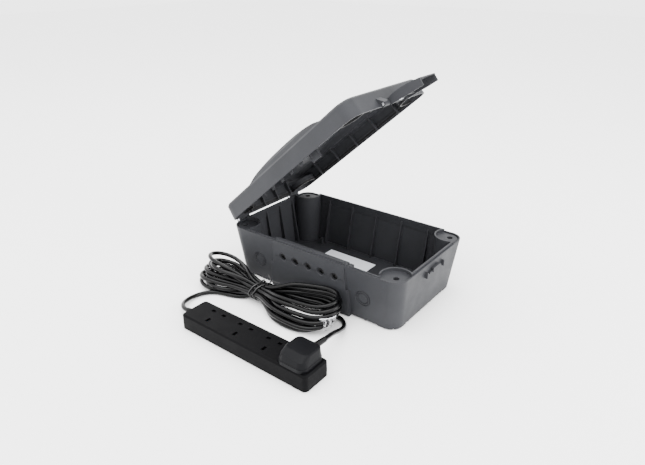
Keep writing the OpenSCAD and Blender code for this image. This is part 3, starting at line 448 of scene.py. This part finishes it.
def add_ties():
    """Two plastic-coated wire ties round the waist, each twisted shut with two free ends."""
    lines = []
    ends = []
    for x_mid, along, free in TIES:
        loop = around_strands(x_mid, TIE_SLANT, TIE_D / 2 + 0.1)
        top = max(range(len(loop)), key=lambda i: loop[i][2] + 0.4 * loop[i][1])
        lines.append([tuple(q) for q in smooth_path(loop[top:] + loop[:top + 1], 1.2)])
        for k, (reach, bend) in enumerate(free):
            ends.append(free_end(np.array(loop[top]), along, reach, bend, math.pi * k))
    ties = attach(tube_mesh("hank_tie_wires", lines + ends, TIE_D), "lead")
    ties.data.materials.append(MATERIALS["tie_plastic"])
    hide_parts("hank_ties")
    return ties


def outer_face(y, z):
    """How far out the hank's right end reaches at a place, in millimetres."""
    near = route[(np.abs(route[:, 1] - y) < 5.5) & (np.abs(route[:, 2] - z) < 5) & (route[:, 0] < 88)]
    return (near[:, 0].max() if len(near) else 70.0) + CORD_D / 2


def add_film():
    """A creased clear film flag, folded over the outer turns at the hank's right end."""
    across, down = 30, 30
    crease = 0.75
    y_from, y_to, z_top, z_foot = -172.0, -149.0, 30.0, 7.5
    face = np.array([[outer_face(y_from + (y_to - y_from) * i / across, z_top + (z_foot - z_top) * j / down)
                      for i in range(across + 1)] for j in range(down + 1)])
    for _ in range(14):
        padded = np.pad(face, 1, mode="edge")
        smooth = (padded[:-2, 1:-1] + padded[2:, 1:-1] + padded[1:-1, :-2] + padded[1:-1, 2:]) / 4
        face = np.maximum(face, smooth) * 0.5 + smooth * 0.5
    bm = bmesh.new()
    rows = []
    for j in range(down + 1):
        row = []
        for i in range(across + 1):
            u, v = i / across, j / down
            fold = math.sin(u * 23 + 2.2 * math.sin(v * 3.1 + 1)) * (0.25 + 0.75 * v)
            crush = noise.noise(Vector((u * 7, v * 4, 3.1)))
            x = face[j, i] + 0.9 + crease * (fold + 1) + 0.9 * abs(crush)
            y = y_from + (y_to - y_from) * (u + 0.035 * math.sin(v * 5 + u * 4)) + 2.2 * v
            z = z_top + (z_foot - z_top) * v + 1.1 * math.sin(u * 5) * v
            row.append(bm.verts.new((x * MM, y * MM, z * MM)))
        rows.append(row)
    for j in range(down):
        for i in range(across):
            bm.faces.new((rows[j][i], rows[j][i + 1], rows[j + 1][i + 1], rows[j + 1][i])).smooth = True
    data = bpy.data.meshes.new("cord_film")
    bm.to_mesh(data)
    bm.free()
    data.materials.append(MATERIALS["clear_film"])
    film = bpy.data.objects.new("cord_film", data)
    bpy.context.scene.collection.objects.link(film)
    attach(film, "lead")
    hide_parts("cord_tag")
    edge = [(face[0, i] + 1.6 + 0.5 * math.sin(i), y_from + (y_to - y_from) * i / across, z_top + 0.4)
            for i in range(0, across + 1, 2)]
    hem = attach(tube_mesh("cord_film_hem", [edge], 1.3), "lead")
    hem.data.materials.append(MATERIALS["label_paper"])
    return film, hem


tie_wires = add_ties()
film, film_hem = add_film()


# ---------------------------------------------------------------- floor and light


def add_stage():
    bpy.ops.mesh.primitive_plane_add(size=12, location=(0, 0, -0.0004))
    floor = bpy.context.object
    floor.name = "floor"
    mat = bpy.data.materials.new("floor")
    mat.use_nodes = True
    bsdf = mat.node_tree.nodes["Principled BSDF"]
    bsdf.inputs["Base Color"].default_value = (0.95, 0.95, 0.95, 1)
    bsdf.inputs["Roughness"].default_value = 0.9
    floor.data.materials.append(mat)


def area_light(name, place, target, size, power, colour=(1, 1, 1)):
    data = bpy.data.lights.new(name, "AREA")
    data.shape = "RECTANGLE"
    data.size, data.size_y = size
    data.energy = power
    data.color = colour
    light = bpy.data.objects.new(name, data)
    light.location = place
    light.rotation_euler = (Vector(target) - Vector(place)).to_track_quat("-Z", "Y").to_euler()
    bpy.context.scene.collection.objects.link(light)


def add_light():
    world = bpy.data.worlds.new("studio")
    world.use_nodes = True
    world.node_tree.nodes["Background"].inputs["Color"].default_value = (1, 1, 1, 1)
    world.node_tree.nodes["Background"].inputs["Strength"].default_value = 3.6
    bpy.context.scene.world = world
    area_light("key", (-0.2, -0.5, 2.4), (0, -0.05, 0.0), (2.6, 2.2), 90)
    area_light("side", (1.7, 0.2, 0.8), (0, 0, 0.1), (0.8, 1.0), 24)


add_stage()
add_light()

bpy.context.view_layer.update()
